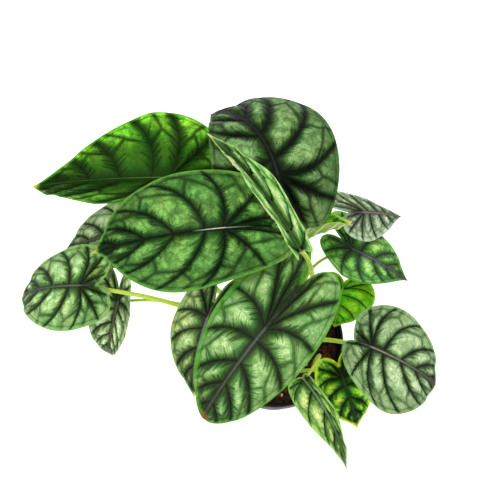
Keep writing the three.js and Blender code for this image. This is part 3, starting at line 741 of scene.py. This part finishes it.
def build_petiole(name, leaf):
    """A ribbed stalk that is thick and grooved at its sheathing foot and thin under the blade."""
    line = petiole_line(leaf)
    thin = value(leaf, "stalk")
    way = np.gradient(line, axis=0)
    way = way / np.linalg.norm(way, axis=1, keepdims=True)
    spoke = Vector((0, 1, 0))
    points = []
    shares = []
    for step, (middle, ahead) in enumerate(zip(line, way)):
        ahead = Vector(ahead)
        spoke = (spoke - spoke.dot(ahead) * ahead).normalized()
        other = ahead.cross(spoke)
        share = step / STALK_STEPS
        radius = thin * (STALK_FLARE + (1 - STALK_FLARE) * math.sqrt(share))
        collar = 1 + COLLAR_SWELL * math.exp(-((1 - share) / COLLAR_SHARE) ** 2)
        for k in range(STALK_SIDES):
            turn = 2 * math.pi * k / STALK_SIDES
            rib = 1 + STRIPE_HEIGHT * math.cos(STALK_STRIPES * turn)
            notch = math.exp(-((turn - math.pi) / SHEATH_ANGLE) ** 2)
            groove = 1 - SHEATH_DEPTH * (1 - share) ** 2 * notch
            reach = radius * collar * rib * groove
            spot = math.cos(turn) * spoke + math.sin(turn) * other
            points.append(np.array(middle) + reach * np.array(spot))
            shares.append(share)
    starts = range(0, len(points), STALK_SIDES)
    rings = [list(range(start, start + STALK_SIDES)) for start in starts]
    faces = [*walls(rings), rings[0][::-1], rings[-1]]
    face = np.array(direction(leaf, UNIT_FACE))
    above = np.maximum(0, (np.array(points) - line[-1]) @ face)
    points = np.array(points) - above[:, None] * face
    stalk = mesh_object(f"stalk_{name}", points, faces)
    stalk.data.attributes.new("share", "FLOAT", "POINT").data.foreach_set("value", shares)
    return stalk


# Pot and potting mix

def walls(rings):
    """The faces between each ring of points and the next. A ring may be one point, repeated."""
    faces = []
    for near, far in zip(rings, rings[1:]):
        for k in range(len(near)):
            after = (k + 1) % len(near)
            corners = list(dict.fromkeys([near[k], near[after], far[after], far[k]]))
            if len(corners) > 2:
                faces.append(corners)
    return faces


def lathe(profile, turns):
    """A closed body from a profile of (radius, height) that starts and ends on the axis."""
    points = []
    rings = []
    for radius, height in profile:
        if radius == 0:
            rings.append([len(points)] * turns)
            points.append((0, 0, height))
            continue
        rings.append(list(range(len(points), len(points) + turns)))
        for k in range(turns):
            turn = 2 * math.pi * k / turns
            points.append((radius * math.cos(turn), radius * math.sin(turn), height))
    return points, walls(rings)


def rounded(corners, radius, steps=4):
    """The profile's corners, each inner one cut off by a short arc."""
    path = [corners[0]]
    for before, corner, after in zip(corners, corners[1:], corners[2:]):
        here = Vector(corner)
        back = Vector(before) - here
        on = Vector(after) - here
        reach = min(radius, back.length / 2.2, on.length / 2.2)
        start = here + back.normalized() * reach
        end = here + on.normalized() * reach
        for step in range(steps + 1):
            share = step / steps
            spot = start * (1 - share) ** 2 + here * 2 * share * (1 - share) + end * share ** 2
            path.append(tuple(spot))
    path.append(corners[-1])
    return path


def build_pot():
    """The nursery pot: a turned wall with a rim band, and drain holes cut through its floor."""
    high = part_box("pot")[1]
    rim = high.x / MM
    height = high.z / MM
    shoulder = height - RIM_BAND
    bore = SHOULDER_RADIUS - WALL
    slope = (SHOULDER_RADIUS - BASE_RADIUS) / shoulder
    profile = rounded([
        (0, FOOT_RISE), (FOOT_RING, FOOT_RISE), (FOOT_RING + 1, 0), (BASE_RADIUS - BASE_CHAMFER, 0),
        (BASE_RADIUS + BASE_CHAMFER * slope, BASE_CHAMFER), (SHOULDER_RADIUS, shoulder),
        (rim - RIM_DRAFT, shoulder), (rim, height - LIP_DROP), (rim - LIP_INSET, height),
        (rim - RIM_WALL, height), (rim - RIM_WALL, shoulder + FLOOR), (bore, shoulder),
        (BASE_RADIUS + FLOOR * slope - WALL, FLOOR), (0, FLOOR),
    ], EDGE_ROUND)
    points, faces = lathe(profile, POT_SIDES)
    pot = mesh_object("nursery_pot", points, faces)
    bit = [(0, -FLOOR), (DRAIN_RADIUS, -FLOOR), (DRAIN_RADIUS, 2 * FLOOR), (0, 2 * FLOOR)]
    spots, sides = lathe(bit, DRAIN_SIDES)
    for k in range(DRAIN_HOLES):
        turn = 2 * math.pi * k / DRAIN_HOLES
        shift = (DRAIN_CIRCLE * math.cos(turn), DRAIN_CIRCLE * math.sin(turn), 0)
        drill = mesh_object("drill", np.array(spots) + shift, sides)
        cut = pot.modifiers.new("hole", "BOOLEAN")
        cut.operation = "DIFFERENCE"
        cut.object = drill
        bpy.context.view_layer.update()
        drilled = pot.evaluated_get(bpy.context.evaluated_depsgraph_get())
        mesh = bpy.data.meshes.new_from_object(drilled)
        pot.modifiers.clear()
        pot.data = mesh
        bpy.data.objects.remove(drill)
    pot.data.materials.clear()
    pot.data.shade_smooth()
    pot.data.set_sharp_from_angle(angle=math.radians(SHARP_ANGLE))
    return pot


def chip(random, size, flat):
    """A broken crumb: a squashed ball with its corners moved about."""
    points = [(0, 0, 1), (0, 0, -1)]
    for level in (CHIP_LEVEL, -CHIP_LEVEL):
        for k in range(CHIP_SIDES):
            shift = random.uniform(-CHIP_JITTER, CHIP_JITTER)
            turn = 2 * math.pi * (k + shift) / CHIP_SIDES
            reach = random.uniform(*CHIP_REACH)
            points.append((reach * math.cos(turn), reach * math.sin(turn), level))
    faces = []
    for k in range(CHIP_SIDES):
        here = 2 + k
        after = 2 + (k + 1) % CHIP_SIDES
        faces.append([0, here, after])
        faces.append([1, after + CHIP_SIDES, here + CHIP_SIDES])
        faces.append([here, here + CHIP_SIDES, after + CHIP_SIDES, after])
    stretch = np.array([size, size * random.uniform(*CHIP_WIDTH), size * flat])
    turn = Matrix.Rotation(random.uniform(0, CHIP_TURN), 3, "Z") @ Matrix.Rotation(
        random.uniform(-CHIP_TILT, CHIP_TILT), 3, "X")
    return (np.array(points) * stretch) @ np.array(turn).T, faces


def soil_height(x, y):
    """The lumpy top of the potting mix."""
    roll = math.sin(SOIL_RATE_X * x + SOIL_SHIFT) * math.cos(SOIL_RATE_Y * y + SOIL_SKEW * x)
    spot = Vector((x, y, SOIL_SLICE)) / SOIL_LUMP
    rough = noise.fractal(spot, FRACTAL_STEP, FRACTAL_GAP, FRACTAL_OCTAVES)
    return SOIL_LEVEL + SOIL_BUMP * roll + SOIL_ROUGH * rough


def build_soil():
    """The potting mix: a body that fills the pot, with chips of bark and a few perlite grains."""
    random = np.random.default_rng(SOIL_SEED)
    low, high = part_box("soil")
    edge = high.x / MM - SOIL_INSET
    foot = low.z / MM
    top = [(edge * ring / SOIL_RINGS, SOIL_LEVEL) for ring in range(SOIL_RINGS + 1)]
    under = [(edge, SOIL_LEVEL - SOIL_SHOULDER), (BASE_RADIUS - 2 * WALL, foot), (0, foot)]
    points, faces = lathe(top + under, SOIL_SIDES)
    for number in range(1 + SOIL_RINGS * SOIL_SIDES):
        x, y = points[number][:2]
        points[number] = (x, y, soil_height(x, y))
    # This profile starts at the top, so its faces are turned over to look outwards
    faces = [[face[0], *face[:0:-1]] for face in faces]
    slots = [0] * len(faces)
    for number in range(CHIPS + PERLITE):
        white = number >= CHIPS
        reach = (edge - CHIP_INSET) * math.sqrt(random.uniform(0, 1))
        turn = random.uniform(0, 2 * math.pi)
        size = random.uniform(*(PERLITE_SIZE if white else CHIP_SIZE))
        spots, sides = chip(random, size, PERLITE_FLAT if white else CHIP_FLAT)
        x = reach * math.cos(turn)
        y = reach * math.sin(turn)
        first = len(points)
        points.extend((spots + (x, y, soil_height(x, y) + CHIP_LIFT)).tolist())
        faces.extend([[first + corner for corner in face] for face in sides])
        slots.extend([2 if white else 1] * len(sides))
    soil = mesh_object("potting_mix", points, faces)
    soil.data.polygons.foreach_set("material_index", slots)
    return soil


# Materials

def fill(tree, node, sources):
    """Gives inputs of a node a value each, or a link from another node. A list fills them in
    order, and a dict by name."""
    pairs = sources.items() if isinstance(sources, dict) else enumerate(sources)
    for name, source in pairs:
        if isinstance(source, bpy.types.NodeSocket):
            tree.links.new(source, node.inputs[name])
        else:
            node.inputs[name].default_value = source


def add(tree, kind, sources=(), output=0, **settings):
    """Adds a node with its settings and its inputs' sources. The result is one of its outputs."""
    made = tree.nodes.new(f"ShaderNode{kind}")
    for name, setting in settings.items():
        setattr(made, name, setting)
    fill(tree, made, sources)
    return made.outputs[output]


MIX_FACTOR = 0
MIX_A = 6
MIX_B = 7
MIX_COLOR = 2


def painted(tree, ground, layers):
    """Colours laid over each other, each where its factor says."""
    for factor, colour in layers:
        ground = add(
            tree, "Mix", {MIX_FACTOR: factor, MIX_A: ground, MIX_B: linear(colour)},
            output=MIX_COLOR, data_type="RGBA")
    return ground


def new_material(name):
    """A material with one Principled shader, and its tree."""
    material = bpy.data.materials.new(name)
    material.use_nodes = True
    return material, material.node_tree, material.node_tree.nodes["Principled BSDF"]


# Settings of nodes that many patterns use
SOFT = dict(interpolation_type="SMOOTHSTEP")
TIMES = dict(operation="MULTIPLY")
TIMES_PLUS = dict(operation="MULTIPLY_ADD")

# Sizes of a leaf's patterns in millimetres, its cuticle's IOR, and colours that all leaves share
GRAIN = 1.4
PUCKER = 3.5
CLOUD = 9
DRIFT = 20
BARB_GAP = 1.9
BARB_SLANT = 0.7
NET_CELL = 9
NET_RIPPLE = 8
NET_BEND = 6
LEAF_IOR = 1.42
FLECK = "#A9B43A"
VEIN_CORD = "#C9D0A0"
LEAF_FACTS = (
    "vein_mm", "fork_mm", "shoot_mm", "rib_mm", "tip_mm", "margin_mm", "rim", "hub_mm", "along_mm",
    "out", "behind", "light",
)


def leaf_upper(name, look):
    """Living leaf, a waxy cuticle over green tissue: satin crowns, and dark zones where it dips to
    the veins. Fine barbs 1.9 mm apart feather the zones, and the green drifts over 20 mm."""
    material, tree, surface = new_material(f"waxy_leaf_{name}")
    spot = add(tree, "TexCoord", output="Object")
    fact = {key: add(tree, "Attribute", output="Fac", attribute_name=key) for key in LEAF_FACTS}
    grain, pucker, cloud, drift = (
        add(tree, "TexNoise", {"Vector": spot, "Scale": 1 / (size * MM), "Detail": 3})
        for size in (GRAIN, PUCKER, CLOUD, DRIFT))
    sway = add(tree, "Math", [cloud, 4.2, -2.1], **TIMES_PLUS)
    sway = add(tree, "Math", [pucker, 1.8, sway], **TIMES_PLUS)
    sway = add(tree, "Math", [sway, 0.9], operation="SUBTRACT")

    # Barbs leave each vein at a slant and break up where the noise is low
    slant = add(tree, "Math", [fact["vein_mm"], -BARB_SLANT, fact["along_mm"]], **TIMES_PLUS)
    bent = add(tree, "Math", [sway, 1.3, slant], **TIMES_PLUS)
    turns = add(tree, "Math", [bent, 2 * math.pi / BARB_GAP], **TIMES)
    swing = add(tree, "Math", [turns], operation="SINE")
    comb = add(tree, "MapRange", [swing, -0.3, 1.0], **SOFT)
    whole = add(tree, "MapRange", [pucker, 0.4, 0.55], **SOFT)
    barbs = add(tree, "Math", [comb, whole], **TIMES)

    # The dark zone narrows towards the margin, and widens round the petiole
    vein = add(tree, "Math", [fact["vein_mm"], sway], operation="ADD")
    feathered = add(tree, "Math", [barbs, -0.8, vein], **TIMES_PLUS)
    wide = add(tree, "MapRange", [fact["out"], 0.1, 0.9, look["wide"], 0.45 * look["wide"]])
    near = add(tree, "Math", [feathered, wide], operation="DIVIDE")
    hub = add(tree, "MapRange", [fact["hub_mm"], 3.0, 18.0, 0.45, 1.0], **SOFT)
    near = add(tree, "Math", [near, hub], **TIMES)
    on_band = add(tree, "MapRange", [near, 0.15, 1.5, look["band_on"], 0.0], **SOFT)
    core = add(tree, "Math", [sway, 0.2, fact["vein_mm"]], **TIMES_PLUS)
    on_core = add(tree, "MapRange", [core, 0.2, 1.2, 0.9, 0.0], **SOFT)
    crown = add(tree, "MapRange", [near, 0.9, 2.6], **SOFT)
    inside = add(tree, "MapRange", [fact["out"], 0.4, 1.0, look["inner"], look["outer"]], **SOFT)
    blotch = add(tree, "MapRange", [cloud, 0.38, 0.58, look["patch"], 1.0])
    crown = add(tree, "Math", [crown, inside], **TIMES)
    crown = add(tree, "Math", [crown, blotch], **TIMES)
    faint = add(tree, "MapRange", [near, 1.2, 3.4, 0.8, 0.25])
    on_barb = add(tree, "Math", [barbs, faint], **TIMES)

    # Forks have a soft dark zone of their own, and side shoots fade away from their vein
    fork = add(tree, "Math", [sway, 0.4, fact["fork_mm"]], **TIMES_PLUS)
    fork = add(tree, "Math", [barbs, -0.6, fork], **TIMES_PLUS)
    by_fork = add(tree, "MapRange", [fork, 0.3, 3.6, 0.85, 0.0], **SOFT)
    on_fork = add(tree, "MapRange", [fork, 0.1, 1.7, 0.6, 0.0], **SOFT)
    shoot = add(tree, "Math", [sway, 0.3, fact["shoot_mm"]], **TIMES_PLUS)
    shoot = add(tree, "MapRange", [shoot, 0.0, 1.3, 0.8, 0.0], **SOFT)
    fading = add(tree, "MapRange", [near, 1.4, 3.4, 1.0, 0.15], **SOFT)
    on_shoot = add(tree, "Math", [shoot, fading], **TIMES)

    # The finest veins make a net of cells 9 mm wide that shows best far from the main veins
    ripple = add(
        tree, "TexNoise", {"Vector": spot, "Scale": 1 / (NET_BEND * MM), "Detail": 2},
        output="Color")
    ripple = add(tree, "VectorMath", {0: ripple, "Scale": NET_RIPPLE * MM}, operation="SCALE")
    ripple = add(tree, "VectorMath", [spot, ripple], operation="ADD")
    net = add(tree, "TexVoronoi", {
        "Vector": ripple, "Scale": 1 / (NET_CELL * MM)}, feature="DISTANCE_TO_EDGE")
    on_net = add(tree, "MapRange", [net, 0.0, 0.16, 0.5, 0.0], **SOFT)
    spread = add(tree, "MapRange", [near, 1.2, 3.0, 0.2, 1.0])
    on_net = add(tree, "Math", [on_net, spread], **TIMES)

    # The midrib fades towards the tip, and shows less behind the petiole
    on_rib = add(tree, "MapRange", [
        fact["rib_mm"], 0.6 * look["rib_mm"], 1.5 * look["rib_mm"], 1.0, 0.0], **SOFT)
    ahead = add(tree, "Math", [fact["behind"], -0.6, 1.0], **TIMES_PLUS)
    reach = add(tree, "MapRange", [fact["hub_mm"], 8.0, look["rib_reach"], 0.9, look["rib_end"]])
    on_rib = add(tree, "Math", [on_rib, ahead], **TIMES)
    on_rib = add(tree, "Math", [on_rib, reach], **TIMES)

    # A thin dark line runs inside the plain and brighter edge, whose width comes and goes
    line = add(tree, "Math", [sway, 0.4, fact["margin_mm"]], **TIMES_PLUS)
    line = add(tree, "Math", [line, INNER_LINE], operation="SUBTRACT")
    line = add(tree, "Math", [line], operation="ABSOLUTE")
    on_line = add(tree, "MapRange", [line, 0.1, 1.2, 0.5, 0.0], **SOFT)
    edge = add(tree, "Math", [cloud, 3.0, -1.5], **TIMES_PLUS)
    edge = add(tree, "Math", [fact["rim"], edge], operation="ADD")
    on_rim = add(tree, "MapRange", [edge, 0.2, 1.6, look["rim_on"], 0.0], **SOFT)
    on_tip = add(tree, "MapRange", [fact["tip_mm"], 2.0, 9.0, 0.9, 0.0], **SOFT)
    on_fleck = add(tree, "MapRange", [drift, 0.64, 0.74, 0.0, look["fleck"]])

    colour = painted(tree, linear(look["flank"]), (
        (crown, look["cell"]), (on_fleck, FLECK), (by_fork, look["flank"]),
        (on_barb, look["flank"]), (on_net, look["flank"]),
        (on_shoot, look["band"]), (on_fork, look["band"]), (on_band, look["band"]),
        (on_core, look["core"]), (on_rib, look["rib"]), (on_line, look["band"]),
        (on_rim, look["rim"]), (on_tip, look["point"]),
    ))
    hue = add(tree, "MapRange", [drift, 0.3, 0.7, 0.515, 0.485])
    # The grain's random tone, times the half's painted shade
    light = add(tree, "MapRange", [grain, 0.3, 0.7, 0.82, 1.16])
    light = add(tree, "Math", [light, fact["light"]], **TIMES)
    colour = add(tree, "HueSaturation", {"Hue": hue, "Value": light, "Color": colour})
    gloss = add(tree, "MapRange", [grain, 0.3, 0.7, look["rough"] - 0.06, look["rough"] + 0.1])
    low = add(tree, "Math", [barbs, -0.6, grain], **TIMES_PLUS)
    low = add(tree, "Math", [pucker, 1.6, low], **TIMES_PLUS)
    low = add(tree, "Math", [on_net, -1.0, low], **TIMES_PLUS)
    relief = add(tree, "Bump", {"Height": low, "Distance": 0.3 * MM, "Strength": 0.8})
    fill(tree, surface, {
        "Base Color": colour, "Roughness": gloss, "Normal": relief,
        "Specular IOR Level": look["shine"], "IOR": LEAF_IOR})
    return material


def leaf_lower(name, look):
    """The leaf's underside: paler and matt, with veins that stand out as light cords. Its mottle
    is 2 mm coarse."""
    material, tree, surface = new_material(f"leaf_underside_{name}")
    spot = add(tree, "TexCoord", output="Object")
    grain = add(tree, "TexNoise", {"Vector": spot, "Scale": 1 / (2 * MM), "Detail": 4})
    vein = add(tree, "Attribute", output="Fac", attribute_name="vein_mm")
    fork = add(tree, "Attribute", output="Fac", attribute_name="fork_mm")
    on_vein = add(tree, "MapRange", [vein, 0.4, 1.6, 0.9, 0.0], **SOFT)
    on_fork = add(tree, "MapRange", [fork, 0.2, 1.1, 0.5, 0.0], **SOFT)
    colour = painted(tree, linear(look["back"]), ((on_fork, VEIN_CORD), (on_vein, VEIN_CORD)))
    light = add(tree, "MapRange", [grain, 0.3, 0.7, 0.85, 1.1])
    colour = add(tree, "HueSaturation", {"Value": light, "Color": colour})
    relief = add(tree, "Bump", {"Height": grain, "Distance": 0.15 * MM, "Strength": 0.5})
    fill(tree, surface, {
        "Base Color": colour, "Normal": relief, "Roughness": 0.58, "Specular IOR Level": 0.25,
        "IOR": LEAF_IOR})
    return material


def petiole_skin():
    """Fleshy leaf stalk: yellow-green with stripes 0.9 mm wide, darker and redder at its sheath."""
    material, tree, surface = new_material("fleshy_stalk")
    spot = add(tree, "TexCoord", output="Object")
    share = add(tree, "Attribute", output="Fac", attribute_name="share")
    squeeze = add(tree, "Mapping", {"Vector": spot, "Scale": (1, 1, 0.12)})
    stripe = add(tree, "TexNoise", {"Vector": squeeze, "Scale": 1 / (0.9 * MM), "Detail": 2})
    on_stripe = add(tree, "MapRange", [stripe, 0.4, 0.65])
    at_foot = add(tree, "MapRange", [share, 0.06, 0.3, 0.75, 0.0], **SOFT)
    colour = painted(tree, linear("#BCCF48"), ((on_stripe, "#9ABB3A"), (at_foot, "#7A862E")))
    relief = add(tree, "Bump", {"Height": stripe, "Distance": 0.2 * MM, "Strength": 0.5})
    fill(tree, surface, {
        "Base Color": colour, "Normal": relief, "Roughness": 0.4, "Specular IOR Level": 0.35,
        "IOR": LEAF_IOR})
    return material


def pot_plastic():
    """Injection-moulded black polypropylene: matt from a spark texture 0.7 mm coarse, and a little
    dusty in patches of 18 mm."""
    material, tree, surface = new_material("moulded_polypropylene")
    spot = add(tree, "TexCoord", output="Object")
    dust = add(tree, "TexNoise", {"Vector": spot, "Scale": 1 / (18 * MM), "Detail": 5})
    some = add(tree, "MapRange", [dust, 0.45, 0.75, 0.0, 0.4])
    colour = painted(tree, linear("#08080A"), ((some, "#1C1B1A"),))
    spark = add(tree, "TexNoise", {"Vector": spot, "Scale": 1 / (0.7 * MM), "Detail": 2})
    rough = add(tree, "MapRange", [dust, 0.3, 0.7, 0.38, 0.55])
    relief = add(tree, "Bump", {"Height": spark, "Distance": 0.08 * MM, "Strength": 0.5})
    fill(tree, surface, {
        "Base Color": colour, "Roughness": rough, "Normal": relief, "Specular IOR Level": 0.25,
        "IOR": 1.49})
    return material


def crumbs(name, dark, pale, grain_mm, rough):
    """Loose planting stuff, such as peat, bark or perlite: matt, pitted and uneven in colour, with
    pits as coarse as grain_mm."""
    material, tree, surface = new_material(name)
    spot = add(tree, "TexCoord", output="Object")
    grain = add(tree, "TexNoise", {"Vector": spot, "Scale": 1 / (grain_mm * MM), "Detail": 6})
    some = add(tree, "MapRange", [grain, 0.35, 0.68])
    colour = painted(tree, linear(dark), ((some, pale),))
    relief = add(tree, "Bump", {"Height": grain, "Distance": 0.8 * MM, "Strength": 0.8})
    fill(tree, surface, {
        "Base Color": colour, "Normal": relief, "Roughness": rough, "Specular IOR Level": 0.2})
    return material


# Stage

ROOM_LIGHT = 0.7
WHITE = (1, 1, 1, 1)
FLOOR_HALF = 3000
FLOOR_DROP = 0.3
FLOOR_GLOW = 0.6

# Lamps and camera in metres: each lamp's place, size and watts, and where the camera stands and
# which way the plant is seen from
LAMPS = dict(
    key_softbox=((-0.7, -0.4, 1.4), 0.4, 12),
    back_softbox=((0.7, 0.7, 1.2), 0.5, 7),
)
LAMP_AIM = (0, 0, 0.2)
CAMERA_PLACE = (-0.0219, -0.3004, 1.161)
SEEN_FROM = (0, -0.342, 0.940)
SENSOR_MM = 36
LENS_MM = 90


def build_stage():
    """A plain white floor in a white room, soft light from above and behind, and the camera."""
    scene = bpy.context.scene
    scene.view_settings.view_transform = "Standard"
    scene.view_settings.look = "None"
    world = bpy.data.worlds.new("soft_room")
    world.use_nodes = True
    tree = world.node_tree
    seen = add(tree, "LightPath", output="Is Camera Ray")
    glow = add(tree, "MapRange", [seen, 0.0, 1.0, ROOM_LIGHT, 1.0])
    fill(tree, tree.nodes["Background"], {"Color": WHITE, "Strength": glow})
    scene.world = world

    corners = ((-1, -1), (1, -1), (1, 1), (-1, 1))
    points = [(FLOOR_HALF * x, FLOOR_HALF * y, -FLOOR_DROP) for x, y in corners]
    floor = mesh_object("white_floor", points, [[0, 1, 2, 3]])
    material, tree, surface = new_material("white_paper")
    fill(tree, surface, {
        "Base Color": linear("#F4F4F4"), "Roughness": 0.9, "Emission Color": WHITE,
        "Emission Strength": FLOOR_GLOW})
    floor.data.materials.append(material)

    for name, (place, size, power) in LAMPS.items():
        light = bpy.data.lights.new(name, "AREA")
        light.shape = "DISK"
        light.size = size
        light.energy = power
        lamp = bpy.data.objects.new(name, light)
        lamp.location = place
        beam = Vector(LAMP_AIM) - Vector(place)
        lamp.rotation_euler = beam.to_track_quat("-Z", "Y").to_euler()
        scene.collection.objects.link(lamp)

    camera = bpy.data.cameras.new("portrait_camera")
    camera.sensor_width = SENSOR_MM
    camera.lens = LENS_MM
    camera.clip_start = 0.05
    camera.clip_end = 20
    viewer = bpy.data.objects.new("portrait_camera", camera)
    back = Vector(SEEN_FROM).normalized()
    side = Vector((1, 0, 0))
    turn = Matrix((side, back.cross(side), back)).transposed().to_4x4()
    viewer.matrix_world = Matrix.Translation(CAMERA_PLACE) @ turn
    scene.collection.objects.link(viewer)
    scene.camera = viewer


skin = petiole_skin()
for number, (leaf_name, leaf_shape) in enumerate(LEAVES.items()):
    leaf_shape["seed"] = number
    leaf_look = {**PLAIN_LOOK, **LOOKS[leaf_name]}
    blade = build_blade(leaf_name, {**leaf_shape, **leaf_look})
    finished(blade, f"blade_{leaf_name}", [
        leaf_upper(leaf_name, leaf_look), leaf_lower(leaf_name, leaf_look)])
    finished(build_petiole(leaf_name, leaf_shape), f"petiole_{leaf_name}", [skin])
finished(build_pot(), "pot", [pot_plastic()])
finished(build_soil(), "soil", [
    crumbs("peat", "#1A0D08", "#4A2A1A", 3, 0.95),
    crumbs("pine_bark", "#2E150C", "#7A4426", 4, 0.85),
    crumbs("perlite", "#B8B4AA", "#EFEDE6", 1.5, 0.9),
])
build_stage()
